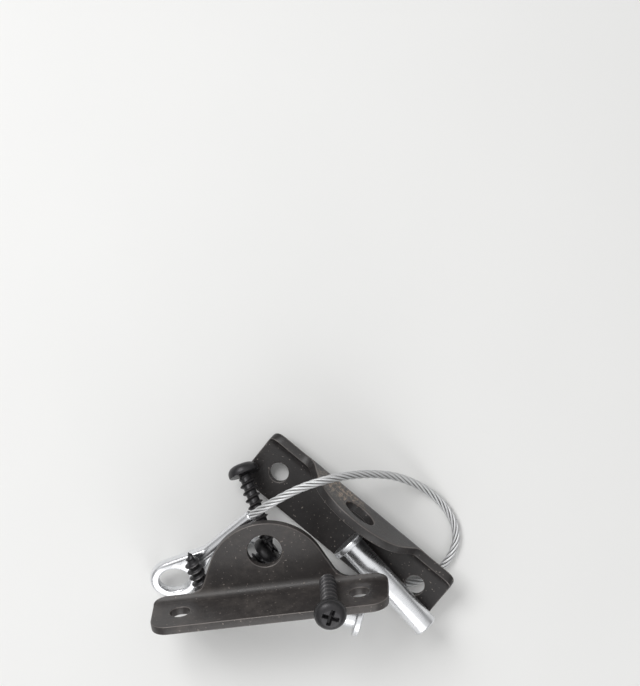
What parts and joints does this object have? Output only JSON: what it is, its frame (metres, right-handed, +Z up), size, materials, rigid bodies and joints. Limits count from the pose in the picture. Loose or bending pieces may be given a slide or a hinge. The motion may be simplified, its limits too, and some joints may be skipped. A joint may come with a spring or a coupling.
{
  "type": "furniture anti-tip strap kit",
  "caption": "Wire rope with a swaged eye terminal on each end, with black steel angle brackets, headed pins and pan-head wood screws, for tying furniture to a wall",
  "frame": {"origin": "on the surface that the set lies on, under the middle of the box round every piece but the rope", "axes": "+Z up from the surface, +X to the picture's right along the set's longest extent, +Y to the picture's top"},
  "size_m": [0.0737, 0.0482, 0.0359],
  "materials": {
    "black_coat": "satin black coat, dusty, worn bright along the sheared edges",
    "black_oxide": "black oxide, lightly oiled",
    "bright_zinc": "bright zinc plating with fine turning marks",
    "galvanised_rope": "drawn galvanised wire, stranded"
  },
  "bodies": {
    "root": {"bracket_front": "black_coat", "bracket_rear": "black_coat", "eye_terminal_left": "bright_zinc", "eye_terminal_right": "bright_zinc", "pin_right": "bright_zinc", "pin_front": "bright_zinc", "screw_left": "black_oxide", "screw_lower_left": "black_oxide", "screw_upright": "black_oxide", "screw_under": "black_oxide", "cable": "galvanised_rope"}
  },
  "joints": []
}
